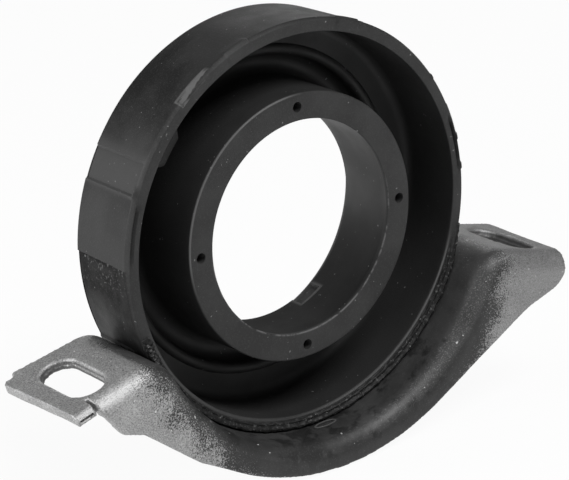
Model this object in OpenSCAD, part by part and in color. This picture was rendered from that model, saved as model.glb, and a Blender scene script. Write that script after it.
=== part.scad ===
// Cradle support for a propeller shaft's centre bearing, in millimetres.
// A pressed steel bracket with two slotted ears carries a rubber ring that is bonded into its saddle.
// The ring's hub, stiffened by a steel insert, holds the bearing.
// The ring's axis lies along Y, the open front faces -Y and Z is up.
// The origin is on the axis, in the middle of the bearing seat.
// Depths and places along Y are counted from the hub's front face.

/* [Bearing seat] */
// Radius of the bearing seat in the hub
seat_r = 31; // [26:0.1:36]
// Depth of the hub from its front face to its back face
hub_d = 20; // [17:0.5:21]
// Radial thickness of the hub
hub_t = 6.5; // [5.5:0.1:10]
// How far the lip at the front of the seat reaches in
lip_h = 1.1; // [0.4:0.1:2.5]
// Thickness of that lip along the axis
lip_t = 1.6; // [0.8:0.1:2.5]
// Width of the notch in the back edge of the seat
seat_notch_w = 5; // [2:0.1:10]
// Length of that notch along the axis
seat_notch_l = 2.4; // [1:0.1:4]
// Depth of that notch in the rubber
seat_notch_d = 0.8; // [0.3:0.1:1.2]
// Angle of that notch below the horizontal
seat_notch_angle = 60; // [0:5:360]

/* [Steel insert] */
// Rubber between the seat and the insert
insert_cover = 1.6; // [1.3:0.1:2.4]
// Wall of the insert
insert_t = 2.4; // [1:0.1:3]
// Rubber in front of the insert
insert_front = 3; // [2:0.1:6]
// Rubber behind the insert
insert_back = 2.6; // [2.5:0.1:5]
// Number of holes that the mould's locating pins left in the hub's face
pin_count = 4; // [3:1:8]
// Diameter of those holes
pin_hole_d = 2.4; // [1:0.1:3]

/* [Trough] */
// Width of the open trough between the hub and the outer wall
trough_w = 16; // [13:0.5:24]
// Distance from the hub to the middle of the ridge on the trough's floor
ridge_off = 7.5; // [6:0.1:9]
// Width of the ridge
ridge_w = 3.2; // [2:0.1:4.5]
// Depth of the ridge's crest behind the front rim
ridge_depth = 18.4; // [15:0.1:20]
// Height of the ridge over the floor beside it
ridge_h = 1.2; // [0.4:0.1:2]
// Depth of the valley beside the hub, behind the front rim
valley_depth = 24.8; // [23.5:0.1:28]
// Thickness of the rolled lobe that closes the valley
lobe_t = 3.2; // [2:0.1:4.5]
// Fillet at the foot of the outer wall
foot_r = 2.5; // [0.5:0.1:3.5]

/* [Outer ring] */
// Thickness of the outer wall
wall_t = 3.8; // [2.8:0.1:6]
// Depth of the outer ring from its front rim to its back
ring_d = 24; // [22:0.5:28]
// How much smaller the wall's radius is at the back
wall_draft = 0.7; // [0.1:0.1:1]
// Width of the chamfer on the rim's front face
rim_edge_w = 0.7; // [0.2:0.1:1.2]
// Length of that chamfer along the axis
rim_edge_l = 1.2; // [0.3:0.1:3]
// Angle of the lower end of each side pad above the horizontal
pad_angle = 2; // [0:0.5:10]
// Angle that each side pad covers
pad_span = 20; // [8:0.5:25]
// Angle by which the front of each pad runs on below it
pad_flap = 6; // [1:0.5:10]
// Angle by which the front of each pad runs on above it
pad_nub = 1.5; // [0.5:0.5:3]
// Height of the side pads over the wall
pad_h = 0.2; // [0.1:0.1:1.5]
// Width of the groove between the rim and the front of each pad
groove_w = 0.6; // [0.3:0.1:1]
// Depth of that groove along the axis
groove_l = 1.5; // [0.5:0.1:4]
// Distance of the pads and the bonded wall from the ring's front and back
pad_inset = 0.2; // [0.1:0.1:1]
// Angle that the recess above each pad covers
recess_span = 9; // [4:0.5:15]
// Depth of the recesses above and below each pad
recess_d = 0.6; // [0.2:0.1:1]
// Angle between the saddle's end and the lower recess
recess_low = 2; // [1:0.5:8]
// Distance of the lower recess from the rim
recess_front = 7; // [4:0.5:12]
// Angle of the rim tabs from the vertical
tab_angle = 19; // [10:0.5:30]
// Angle that each rim tab covers
tab_span = 8; // [3:0.5:12]
// Height of the rim tabs over the wall
tab_h = 0.2; // [0.1:0.1:2]
// How far the rim tabs stand in front of the rim
tab_front = 0.3; // [0.1:0.1:1]
// Width of the rim tabs along the axis
tab_w = 2.4; // [1.2:0.1:5]
// Angle where the lug inside the wall starts
lug_angle = 136; // [125:0.5:145]
// Angle that the lug covers
lug_span = 13; // [5:0.5:20]
// How far the lug stands in from the wall
lug_h = 7.5; // [1:0.1:9]
// Depth of the lug's sloping front behind the rim, where it leaves the wall
lug_front = 0.5; // [0.3:0.1:1.5]
// Depth of the lug's sloping front behind the rim, at its inner end
lug_slope = 6; // [2:0.1:7]
// Length of the lug along the axis
lug_l = 9; // [8.5:0.1:14]
// Slope of the lug's back along the axis
lug_back = 1; // [0.2:0.1:1.4]
// Radius of the rubber bead where the rim meets the saddle
bead_r = 1.8; // [0.8:0.1:2.8]

/* [Bracket] */
// Thickness of the steel sheet
sheet_t = 3.2; // [2:0.1:4]
// Slope of the ears, falling outwards
ear_slope = 15.5; // [8:0.5:22]
// Distance of each slot's middle from the ear's outer end
slot_inset = 10.9; // [9:0.1:13]
// Height of the ears below the ring's axis, at the slots
slot_drop = 23; // [18:0.5:27]
// Place of each slot's middle behind the hub's face
slot_y = 3.8; // [2:0.1:5]
// Length of each slot
slot_l = 21.8; // [14:0.1:22.5]
// Width of each slot
slot_w = 10.6; // [6:0.1:12]
// Width of the chamfer around each slot's upper edge
slot_edge = 0.7; // [0.2:0.1:1.2]
// Radius of the bend from ear to saddle, on its upper side
ear_bend_r = 10.5; // [8:0.5:12]
// Reach of each ear's outer end from the ring's axis
ear_reach = 84.9; // [84:0.1:89]
// Skew of each ear's outer end
ear_skew = 2.6; // [0:0.1:6]
// Place of the back edge behind the hub's face, at the saddle
back_y = 19.2; // [17:0.1:23]
// Place of the back edge at the ears' outer ends
ear_back_y = 22.4; // [19:0.1:26]
// Rounding of each ear's back corner
ear_corner_r = 1.8; // [0.5:0.1:4]
// Length of the step cut out of the left ear's back corner
ear_step_l = 4.4; // [4.1:0.1:6]
// Depth of that step from the back edge
ear_step_w = 2.8; // [1:0.1:5]

/* [Skirt] */
// How far the skirt stands in front of the hub's face
skirt_y = 14; // [13:0.1:20]
// Radius of the flare from ear and saddle to the skirt, on its upper side
flare_r = 6; // [4.5:0.1:7]
// Depth of the skirt's lowest point below the axis
skirt_drop = 65.8; // [65.2:0.1:75]
// Radius of the skirt's lower edge under the ring
skirt_arc_r = 72; // [67:0.5:90]
// Slope of the skirt's lower edge beside the ring
skirt_rise = 29; // [26:0.5:33]
// Slope of the skirt's lower edge under the ears
toe_rise = 17; // [10:0.5:22]
// Rounding of the skirt's outer corners
toe_r = 9; // [6:0.5:11]
// Height of the skirt at the ears' outer ends
toe_h = 12.4; // [11.5:0.1:16]
// Radius that blends the two slopes of the lower edge
rise_blend_r = 30; // [10:1:60]
// Length of the stub at the left ear's end, where the skirt is cut away
stub_l = 6.1; // [4:0.1:8]
// How far the stub stands in front of the hub's face
stub_y = 13.6; // [12.5:0.1:16]
// Width of the relief cut between the skirt and the stub
relief_w = 1; // [0.5:0.1:2]
// Length of the slit that the shear left in the stub's front
slit_l = 4; // [1:0.1:5]
// Height of that slit
slit_h = 0.5; // [0.2:0.1:0.8]
// Depth of that slit
slit_d = 0.8; // [0.3:0.1:1.5]
// Slope of the left end of the skirt
trim_slope = 52; // [45:1:60]
// Length of that slope
trim_l = 10; // [8:0.1:11]
// Length of the flat stretch of the lower edge beside it
trim_flat = 6.8; // [4:0.1:9]
// Slope of the left lower edge beside that stretch
trim_rise = 37.5; // [36:0.5:42]

/* [Hidden] */
$fn = 96;
// Overlap that makes cuts and joined pieces pass through each other
over = 0.5;
// A length larger than the whole part
far = 4 * ear_reach;
// Distance that keeps the edges of joined pieces of sheet apart
lap = 0.3;
// How much the sheet thins on each side in the bends and at the stub
bend_thin = 0.03;

hub_r = seat_r + hub_t;
wall_in_r = hub_r + trough_w;
ring_r = wall_in_r + wall_t;
seat_mid = (lip_t + hub_d) / 2;
insert_in_r = seat_r + insert_cover;
insert_l = hub_d - insert_front - insert_back;
pin_circle_r = insert_in_r + insert_t / 2;

ridge_r = hub_r + ridge_off;
floor_y = ridge_depth + ridge_h;
valley_rad = (ridge_off - ridge_w / 2) / 2;
valley_r = hub_r + valley_rad;
valley_y = valley_depth - valley_rad;
lobe_rad = valley_rad + lobe_t;

flare_y = flare_r - skirt_y;
slot_x = ear_reach - slot_inset;

// Unit vectors along an ear, outwards, and square to its upper face
along = [cos(ear_slope), -sin(ear_slope)];
square_up = [sin(ear_slope), cos(ear_slope)];
// Middle of the bend between ear and saddle, tangent to both
bend_h = square_up * [slot_x, -slot_drop] - ear_bend_r;
bend_l = sqrt(pow(ring_r + ear_bend_r, 2) - bend_h * bend_h);
bend_c = square_up * bend_h + along * bend_l;
saddle_angle = -atan2(bend_c[1], bend_c[0]);
ear_root = bend_c + square_up * ear_bend_r;
// Angle by which each bend runs on into the saddle and the ear
bend_over = over / ear_bend_r * 180 / PI;

slot_along = (slot_x - ear_root[0]) / along[0];
function ear_end(y) = (ear_reach - ear_root[0]) / along[0] + y * tan(ear_skew);
function ear_point(l, depth) = ear_root + along * l - square_up * depth;
stub_start = ear_end(flare_y) - stub_l;
// Length of an ear before its end is cut
blank_l = ear_end(ear_back_y) + over;

// Lower edge of the skirt: an arc, a steep line, a flat line and a round corner, all tangent
arc_c = [0, skirt_arc_r - skirt_drop];
arc_end = arc_c + skirt_arc_r * [sin(skirt_rise), -cos(skirt_rise)];
toe_c = ear_point(ear_end(flare_y) - toe_r, toe_h - toe_r);
toe_start = toe_c + toe_r * [sin(toe_rise), -cos(toe_rise)];
rise_dir = [cos(skirt_rise), sin(skirt_rise)];
toe_dir = [cos(toe_rise), sin(toe_rise)];
rise_l = ((toe_start - arc_end) * [-toe_dir[1], toe_dir[0]]) / (rise_dir * [-toe_dir[1], toe_dir[0]]);
rise_end = arc_end + rise_dir * rise_l;
blend_l = rise_blend_r * tan((skirt_rise - toe_rise) / 2);

// Moves things that are drawn from the hub's front face to the part's origin
module at_seat() {
    translate([0, -seat_mid, 0])
        children();
}

// Turns a profile of radius and depth about the ring's axis
module turned() {
    rotate([-90, 0, 0])
        rotate_extrude()
            children();
}

// Turns a profile from angle a0 to a1, counted from +X towards +Z
module sector(a0, a1) {
    rotate([-90, 0, 0])
        rotate([0, 0, -a1])
            rotate_extrude(angle = a1 - a0)
                children();
}

// Extrudes an outline in X and Z from y0 to y1
module along_y(y0, y1) {
    translate([0, y1, 0])
        rotate([90, 0, 0])
            linear_extrude(y1 - y0)
                children();
}

// Places things on the right ear: x runs outwards along it and z stands square on its upper face
module on_ear() {
    translate([ear_root[0], 0, ear_root[1]])
        rotate([0, ear_slope, 0])
            children();
}

module both_sides() {
    children();
    mirror([1, 0, 0])
        children();
}

// Section of the sheet: x is the depth below its upper side and y runs backwards
// The flat part ends at y = back, the flare turns down in front and a short tail runs into the skirt
module sheet_section(back, thin) {
    wall = sheet_t - 2 * thin;
    translate([thin, flare_y])
        square([wall, back - thin - flare_y]);
    intersection() {
        translate([flare_r, flare_y])
            difference() {
                circle(flare_r - thin);
                circle(flare_r - thin - wall);
            }
        translate([0, -skirt_y])
            square(flare_r);
    }
    translate([flare_r, thin - skirt_y])
        square([over, wall]);
}

// Outline of the space above the skirt's plate, seen from the front
module above_skirt() {
    circle(ring_r + flare_r + lap);
    difference() {
        translate([-far, bend_c[1] * (ring_r + flare_r) / (ring_r + ear_bend_r)])
            square([2 * far, far]);
        both_sides() {
            translate(bend_c)
                circle(ear_bend_r - flare_r - lap / 3);
            translate(bend_c)
                rotate(-ear_slope)
                    translate([0, -far])
                        square([far, far + ear_bend_r - flare_r - lap]);
        }
    }
}

// Outline of the skirt seen from the front, open upwards and running past the ears' outer ends
module skirt_outline() {
    toe_out = toe_c + along * (toe_r + over);
    side = [
        arc_end,
        rise_end,
        toe_start,
        toe_c,
        toe_out,
        [toe_out[0], 0],
    ];
    other = [for (i = [len(side) - 1 : -1 : 0]) [-side[i][0], side[i][1]]];
    polygon(concat(side, other));
    translate(arc_c)
        circle(skirt_arc_r);
    both_sides() {
        translate(toe_c)
            circle(toe_r);
        difference() {
            polygon([
                rise_end - rise_dir * blend_l,
                rise_end + toe_dir * blend_l,
                rise_end + [0, blend_l],
            ]);
            translate(rise_end - rise_dir * blend_l + rise_blend_r * [rise_dir[1], -rise_dir[0]])
                circle(rise_blend_r);
        }
    }
}

// Sliver between a corner at the origin and its rounding, for a corner of +x and +y sides
module corner_sliver(r) {
    rotate(180)
        difference() {
            translate([-over, -over])
                square(r + over);
            translate([r, r])
                circle(r);
        }
}

// Everything beyond the right ear's outer end and back edge
module ear_outside() {
    back_l = ear_end(ear_back_y);
    on_ear()
        translate([0, 0, -far / 2])
            linear_extrude(far)
                polygon([
                    [ear_end(-far), -far],
                    [back_l, ear_back_y],
                    [-over, back_y + lap],
                    [-over, far],
                    [far, far],
                    [far, -far],
                ]);
    on_ear()
        translate([back_l, ear_back_y, -sheet_t - over])
            linear_extrude(sheet_t + 2 * over)
                corner_sliver(ear_corner_r);
}

// Step that is cut out of the left ear's back corner, drawn on the right
module ear_step() {
    step_y = ear_back_y - ear_step_w;
    on_ear()
        translate([0, 0, -sheet_t - over])
            linear_extrude(sheet_t + 2 * over) {
                translate([ear_end(ear_back_y) - ear_step_l, step_y])
                    square([ear_step_l + over, ear_step_w + over]);
                translate([ear_end(step_y), step_y])
                    corner_sliver(ear_corner_r);
            }
}

// Cutter for a slot with a chamfered upper edge, its middle at the origin of the upper face
module slot_cut() {
    half = (slot_l - slot_w) / 2;
    for (s = [-1, 1]) {
        translate([0, s * half, -sheet_t - over])
            cylinder(h = sheet_t + 2 * over, d = slot_w);
        translate([0, s * half, -slot_edge])
            cylinder(h = slot_edge + over, d1 = slot_w, d2 = slot_w + 2 * (slot_edge + over));
    }
    translate([-slot_w / 2, -half, -sheet_t - over])
        cube([slot_w, 2 * half, sheet_t + 2 * over]);
    translate([0, half, 0])
        rotate([90, 0, 0])
            linear_extrude(2 * half)
                polygon([
                    [-slot_w / 2, -slot_edge],
                    [slot_w / 2, -slot_edge],
                    [slot_w / 2 + slot_edge + over, over],
                    [-slot_w / 2 - slot_edge - over, over],
                ]);
}

// Right ear with its flare, running out past its end and back edge
module ear() {
    on_ear()
        rotate([0, 90, 0])
            linear_extrude(blank_l)
                sheet_section(ear_back_y + over, 0);
}

// Bend from the saddle to the right ear
module ear_bend() {
    translate([bend_c[0], 0, bend_c[1]])
        sector(90 - ear_slope - bend_over, 180 - saddle_angle + bend_over)
            translate([ear_bend_r, 0])
                mirror([1, 0])
                    sheet_section(back_y, bend_thin);
}

// Flat plate of the skirt
module skirt() {
    along_y(-skirt_y, sheet_t - skirt_y)
        difference() {
            skirt_outline();
            above_skirt();
        }
}

// Space at the left end of the skirt that is cut away, drawn on the right
module left_trim() {
    inner = stub_start - relief_w;
    cut = ear_point(inner, sheet_t);
    knee = cut - trim_l * [cos(trim_slope), sin(trim_slope)];
    flat_end = knee - trim_flat * toe_dir;
    low_end = flat_end - far * [cos(trim_rise), sin(trim_rise)];
    along_y(-skirt_y - over, flare_y + lap)
        polygon([
            ear_point(inner, -far),
            cut,
            knee,
            flat_end,
            low_end,
            [far, low_end[1]],
            ear_point(inner + far, -far),
        ]);
}

// Stub in front of the left ear's end, its upper edge rounded by the shear, drawn on the right
module stub() {
    wall = sheet_t - 2 * bend_thin;
    nose_y = wall - stub_y;
    on_ear()
        translate([stub_start, 0, -sheet_t + bend_thin])
            rotate([90, 0, 90])
                linear_extrude(blank_l - stub_start) {
                    translate([nose_y, 0])
                        square([flare_y + lap + over - nose_y, wall]);
                    intersection() {
                        translate([nose_y, 0])
                            circle(wall);
                        translate([-stub_y, 0])
                            square(wall);
                    }
                }
}

// Slit that the shear left in the stub's front, drawn on the right
module stub_slit() {
    on_ear()
        translate([stub_start + (stub_l - slit_l) / 2, -stub_y - over, 2 * slit_h - sheet_t])
            cube([slit_l, slit_d + over, slit_h]);
}

module mounting_bracket() {
    color("darkgray")
        at_seat()
            difference() {
                union() {
                    difference() {
                        union() {
                            sector(saddle_angle - 180, -saddle_angle)
                                translate([ring_r, 0])
                                    sheet_section(back_y, 0);
                            both_sides() {
                                ear_bend();
                                ear();
                            }
                            skirt();
                        }
                        mirror([1, 0, 0])
                            left_trim();
                    }
                    mirror([1, 0, 0])
                        stub();
                }
                both_sides() {
                    ear_outside();
                    on_ear()
                        translate([slot_along, slot_y, 0])
                            slot_cut();
                }
                mirror([1, 0, 0]) {
                    ear_step();
                    stub_slit();
                }
            }
}

// Section of the rubber, radius and depth, right of the axis
module rubber_section() {
    // Hub with the lip in front of the seat
    difference() {
        union() {
            translate([seat_r, 0])
                square([hub_t, hub_d]);
            translate([seat_r - lip_h, 0])
                square([lip_h + over, lip_t]);
        }
        translate([insert_in_r, insert_front])
            square([insert_t, insert_l]);
    }
    // Outer wall and the floor behind the trough
    polygon([
        [wall_in_r, 0],
        [ring_r - rim_edge_w, 0],
        [ring_r, rim_edge_l],
        [ring_r - wall_draft, ring_d],
        [wall_in_r, ring_d],
    ]);
    translate([ridge_r, floor_y])
        square([trough_w - ridge_off + over, ring_d - floor_y]);
    difference() {
        translate([wall_in_r - foot_r, floor_y - foot_r])
            square(foot_r + over);
        translate([wall_in_r - foot_r, floor_y - foot_r])
            circle(foot_r);
    }
    // Ridge on the floor
    translate([ridge_r, ridge_depth + ridge_w / 2])
        circle(d = ridge_w);
    // Lobe rolled backwards between ridge and hub
    difference() {
        union() {
            translate([valley_r, valley_y])
                circle(lobe_rad);
            translate([valley_r, ridge_depth + ridge_w / 2])
                square([lobe_rad, valley_y - ridge_depth - ridge_w / 2]);
            translate([valley_r - lobe_rad, hub_d - insert_back + over])
                square([lobe_rad, valley_y - hub_d + insert_back - over]);
        }
        translate([valley_r, valley_y])
            circle(valley_rad);
        translate([valley_r - valley_rad, 0])
            square([2 * valley_rad, valley_y]);
        translate([valley_r - lobe_rad - over, 0])
            square([lobe_t + over, hub_d - insert_back + over]);
    }
}

// Smooth pad and rim tab on the right of the outer wall
module wall_pads() {
    sector(pad_angle - pad_flap, pad_angle + pad_span + pad_nub)
        polygon([
            [wall_in_r + over, pad_inset],
            [ring_r + pad_h, pad_inset],
            [ring_r + pad_h - wall_draft, ring_d - pad_inset],
            [wall_in_r + over, ring_d - pad_inset],
        ]);
    sector(90 - tab_angle - tab_span / 2, 90 - tab_angle + tab_span / 2)
        translate([wall_in_r + over, -tab_front])
            square([wall_t - over + tab_h, tab_front + tab_w]);
}

// Groove in front of the right pad and the recesses above and below it
module wall_cuts() {
    sector(pad_angle, pad_angle + pad_span - pad_nub)
        translate([ring_r - rim_edge_w - groove_w / 2, -over])
            square([groove_w, groove_l + over]);
    sector(pad_angle + pad_span, pad_angle + pad_span + recess_span)
        translate([ring_r - wall_draft - recess_d, rim_edge_l])
            square([wall_t, ring_d]);
    sector(recess_low - saddle_angle, pad_angle)
        translate([ring_r - wall_draft - recess_d, recess_front])
            square([wall_t, ring_d]);
}

// Lug with a sloping front inside the wall
module lug() {
    sector(lug_angle, lug_angle + lug_span)
        polygon([
            [wall_in_r + over, lug_front],
            [wall_in_r - lug_h, lug_slope],
            [wall_in_r - lug_h, lug_l - lug_back],
            [wall_in_r + over, lug_l],
        ]);
}

// Full wall where the rubber is bonded into the saddle, with the bead along its rim
module bonded_wall() {
    sector(saddle_angle - 180, -saddle_angle) {
        translate([wall_in_r + over, pad_inset])
            square([wall_t - over, ring_d - 2 * pad_inset]);
        intersection() {
            translate([ring_r, 0])
                circle(bead_r);
            translate([ring_r - bead_r, -bead_r])
                square([bead_r, bead_r + over]);
        }
    }
}

module rubber_ring() {
    color([0.13, 0.13, 0.13])
        at_seat()
            difference() {
                union() {
                    turned()
                        rubber_section();
                    both_sides()
                        wall_pads();
                    lug();
                    bonded_wall();
                }
                both_sides()
                    wall_cuts();
                for (i = [0 : pin_count - 1])
                    rotate([0, i * 360 / pin_count, 0])
                        translate([pin_circle_r, insert_front, 0])
                            rotate([90, 0, 0])
                                cylinder(h = insert_front + over, d = pin_hole_d);
                rotate([0, seat_notch_angle, 0])
                    translate([seat_r - over, hub_d - seat_notch_l, -seat_notch_w / 2])
                        cube([over + seat_notch_d, seat_notch_l + over, seat_notch_w]);
            }
}

module insert_ring() {
    color("dimgray")
        at_seat()
            turned()
                translate([insert_in_r, insert_front])
                    square([insert_t, insert_l]);
}

mounting_bracket();
rubber_ring();
insert_ring();
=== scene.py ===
import math
import bmesh
import bpy
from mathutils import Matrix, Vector


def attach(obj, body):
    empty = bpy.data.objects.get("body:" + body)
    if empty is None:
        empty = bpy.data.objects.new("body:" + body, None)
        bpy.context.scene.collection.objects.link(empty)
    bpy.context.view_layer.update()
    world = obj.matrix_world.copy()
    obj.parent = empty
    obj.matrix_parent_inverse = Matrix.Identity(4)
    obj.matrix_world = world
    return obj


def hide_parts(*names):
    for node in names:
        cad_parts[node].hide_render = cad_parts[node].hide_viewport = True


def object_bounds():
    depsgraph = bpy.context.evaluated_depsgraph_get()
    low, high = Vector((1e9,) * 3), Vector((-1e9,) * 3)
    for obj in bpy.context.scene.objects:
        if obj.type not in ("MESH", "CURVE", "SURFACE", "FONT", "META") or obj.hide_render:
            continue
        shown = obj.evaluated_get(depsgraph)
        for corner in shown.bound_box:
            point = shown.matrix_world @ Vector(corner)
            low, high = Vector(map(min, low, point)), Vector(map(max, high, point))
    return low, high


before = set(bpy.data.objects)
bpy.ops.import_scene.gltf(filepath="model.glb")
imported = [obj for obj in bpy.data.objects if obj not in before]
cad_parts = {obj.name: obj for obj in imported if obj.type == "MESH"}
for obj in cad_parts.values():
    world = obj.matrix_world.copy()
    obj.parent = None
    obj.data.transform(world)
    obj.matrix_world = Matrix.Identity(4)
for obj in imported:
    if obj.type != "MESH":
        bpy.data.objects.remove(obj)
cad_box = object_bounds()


# Pressed bracket: one blank of 3.2 mm steel sheet, drawn into a saddle, two drooping ears and a flare.
# The press bends the sheet along one section, then trims its ends, punches the slots and shears the left toe.
# Places are drawn in millimetres, with Y counted from the hub's front face.
MM = 0.001
SEAT_MID = 10.8
SHEET_T = 3.2
RING_R = 57.3
EAR_SLOPE = math.radians(15.5)
EAR_SKEW = math.radians(2.6)
EAR_REACH = 84.9
SLOT_X = 74
SLOT_DROP = 23
BEND_R = 10.5
BACK_Y = 19.2
EAR_BACK_Y = 22.4
FLARE_R = 6
SKIRT_Y = 14
BLANK_L = 26
flare_y = FLARE_R - SKIRT_Y
along = (math.cos(EAR_SLOPE), -math.sin(EAR_SLOPE))
square_up = (math.sin(EAR_SLOPE), math.cos(EAR_SLOPE))
# The bend between an ear and the saddle touches both
bend_h = square_up[0] * SLOT_X - square_up[1] * SLOT_DROP - BEND_R
bend_l = math.sqrt((RING_R + BEND_R) ** 2 - bend_h ** 2)
bend_at = [square_up[i] * bend_h + along[i] * bend_l for i in (0, 1)]
saddle_angle = -math.atan2(bend_at[1], bend_at[0])
ear_root = [bend_at[i] + square_up[i] * BEND_R for i in (0, 1)]


def at(x, y, z):
    """A place in the drawing, in millimetres, as a place in the frame."""
    return Vector((x, y - SEAT_MID, z)) * MM


def on_ear(l, y, depth, side=1):
    """A place on an ear: l outwards from its root, depth below its upper face."""
    x = ear_root[0] + along[0] * l - square_up[0] * depth
    z = ear_root[1] + along[1] * l - square_up[1] * depth
    return at(side * x, y, z)


def ear_end(y):
    """Length of an ear at a place along Y."""
    return (EAR_REACH - ear_root[0]) / along[0] + y * math.tan(EAR_SKEW)


def arc(x, z, r, start, end, steps):
    """Points on an arc in degrees, in the plane of the two given coordinates."""
    turns = [math.radians(start + (end - start) * i / steps) for i in range(steps + 1)]
    return [(x + r * math.cos(t), z + r * math.sin(t)) for t in turns]


def draw(name, points):
    """Draws a chain of edges by pulling one point from place to place, and stays in edit mode."""
    bpy.ops.object.select_all(action="DESELECT")
    bpy.ops.mesh.primitive_plane_add(size=MM)
    piece = bpy.context.object
    piece.name = name
    bpy.ops.object.mode_set(mode="EDIT")
    bpy.ops.mesh.select_mode(type="VERT")
    bpy.ops.mesh.select_all(action="SELECT")
    bpy.ops.mesh.merge(type="CENTER")
    bpy.ops.transform.translate(value=points[0])
    for here, there in zip(points, points[1:]):
        bpy.ops.mesh.extrude_region_move(TRANSFORM_OT_translate={"value": there - here})
    return piece


def pick(test, kind="VERT"):
    """Selects the points or faces in edit mode whose place in the drawing passes the test."""
    mesh = bmesh.from_edit_mesh(bpy.context.object.data)
    bpy.ops.mesh.select_mode(type=kind)
    bpy.ops.mesh.select_all(action="DESELECT")
    for item in mesh.verts if kind == "VERT" else mesh.faces:
        x, y, z = (item.co if kind == "VERT" else item.calc_center_median()) / MM
        item.select_set(bool(test(x, y + SEAT_MID, z)))
    mesh.select_flush_mode()
    bmesh.update_edit_mesh(bpy.context.object.data)


def near(places, reach):
    """A test for points within a reach, in millimetres, of one of the given places."""
    return lambda x, y, z: any((at(x, y, z) - place).length < reach * MM for place in places)


def leave():
    """Ends edit mode and gives the piece back."""
    bpy.ops.object.mode_set(mode="OBJECT")
    return bpy.context.object


def only(*pieces):
    """Makes these the selected pieces, the first of them the active one."""
    bpy.ops.object.select_all(action="DESELECT")
    for piece in pieces:
        piece.select_set(True)
    bpy.context.view_layer.objects.active = pieces[0]


def settle(piece):
    """Puts the piece's place, turn and scale into its mesh."""
    only(piece)
    bpy.ops.object.transform_apply(location=True, rotation=True, scale=True)
    return piece


def put(piece, place, turn):
    """Turns a piece about Y, moves it to its place and settles it there."""
    piece.rotation_euler = (0, turn, 0)
    piece.location = place
    return settle(piece)


def block(name, size):
    """Adds a block of the given sizes, in millimetres, at the origin."""
    bpy.ops.object.select_all(action="DESELECT")
    bpy.ops.mesh.primitive_cube_add(size=1)
    piece = bpy.context.object
    piece.name = name
    piece.scale = Vector(size) * MM
    return settle(piece)


def soften(piece, edge):
    """Rounds all edges of a block."""
    only(piece)
    bpy.ops.object.mode_set(mode="EDIT")
    bpy.ops.mesh.select_all(action="SELECT")
    bpy.ops.mesh.bevel(offset=edge * MM, segments=2)
    return leave()


def finish_with(piece, kind, **values):
    """Adds one modifier with its values and applies it."""
    only(piece)
    step = piece.modifiers.new(kind.title(), kind)
    for name, value in values.items():
        setattr(step, name, value)
    bpy.ops.object.modifier_apply(modifier=step.name)


def cut(piece, cutter):
    """Cuts a piece with another one and removes the other."""
    finish_with(piece, "BOOLEAN", operation="DIFFERENCE", object=cutter, solver="EXACT")
    bpy.data.objects.remove(cutter)


def joined(*pieces):
    """Joins pieces into the first of them."""
    only(*pieces)
    bpy.ops.object.join()
    return pieces[0]


flare = [(FLARE_R + a, flare_y + b) for a, b in arc(0, 0, FLARE_R, 180, 270, 20)]
section = [on_ear(BLANK_L, BACK_Y, 0)] + [on_ear(BLANK_L, y, depth) for depth, y in flare]
bracket = draw("bracket", section)
bpy.ops.mesh.select_all(action="SELECT")
bpy.ops.mesh.extrude_region_move(
    TRANSFORM_OT_translate={"value": on_ear(0, 0, 0) - on_ear(BLANK_L, 0, 0)})
bend_turn = math.pi / 2 - saddle_angle + EAR_SLOPE
bpy.ops.mesh.spin(steps=40, angle=bend_turn, center=at(bend_at[0], 0, bend_at[1]), axis=(0, 1, 0))
bpy.ops.mesh.spin(steps=160, angle=math.pi - 2 * saddle_angle, center=at(0, 0, 0), axis=(0, -1, 0))
bpy.ops.mesh.spin(steps=40, angle=bend_turn, center=at(-bend_at[0], 0, bend_at[1]), axis=(0, 1, 0))
bpy.ops.mesh.extrude_region_move(
    TRANSFORM_OT_translate={"value": on_ear(BLANK_L, 0, 0, -1) - on_ear(0, 0, 0, -1)})
ear_tip = ear_root[0] + along[0] * (BLANK_L - 1)
pick(lambda x, y, z: abs(x) > ear_tip and y > BACK_Y - 0.1)
widen = (EAR_BACK_Y - BACK_Y) * BLANK_L / ear_end(EAR_BACK_Y)
bpy.ops.transform.translate(value=(0, widen * MM, 0))
for side in (1, -1):
    bpy.ops.mesh.select_all(action="SELECT")
    end_normal = Vector((side * along[0] * math.cos(EAR_SKEW), -math.sin(EAR_SKEW),
                         along[1] * math.cos(EAR_SKEW)))
    bpy.ops.mesh.bisect(plane_co=on_ear(ear_end(0), 0, 0, side), plane_no=end_normal, clear_outer=True)

# The left ear's back corner is stepped, and the back corners of both ears are rounded
STEP_L = 4.4
STEP_W = 2.8
CORNER_R = 1.8
step_y = EAR_BACK_Y - STEP_W
step_at = on_ear(ear_end(EAR_BACK_Y) - STEP_L, step_y, 0, -1)
left_outwards = Vector((-along[0], 0, along[1]))
step_sides = (left_outwards, Vector((0, 1, 0)))
for side in step_sides:
    pick(lambda x, y, z: x < -ear_root[0] and y > flare_y, "FACE")
    bpy.ops.mesh.bisect(plane_co=step_at, plane_no=side)
pick(lambda x, y, z: x < -ear_root[0]
     and all((at(x, y, z) - step_at).dot(side) > 0 for side in step_sides), "FACE")
bpy.ops.mesh.delete(type="FACE")
pick(near((on_ear(ear_end(step_y), step_y, 0, -1), on_ear(ear_end(EAR_BACK_Y), EAR_BACK_Y, 0)), 0.3))
bpy.ops.mesh.bevel(offset=CORNER_R * MM, affect="VERTICES", segments=6)

# The skirt's lower edge, drawn from the right toe to the left one, closes the flat plate in front
ARC_R = 72
SKIRT_DROP = 65.8
RISE = 29
TOE_RISE = 17
TOE_R = 9
TOE_H = 12.4
BLEND_R = 30


def slope(degrees):
    """Direction of a line of the skirt's edge that rises to the right, as X and Z."""
    return math.cos(math.radians(degrees)), math.sin(math.radians(degrees))


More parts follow.
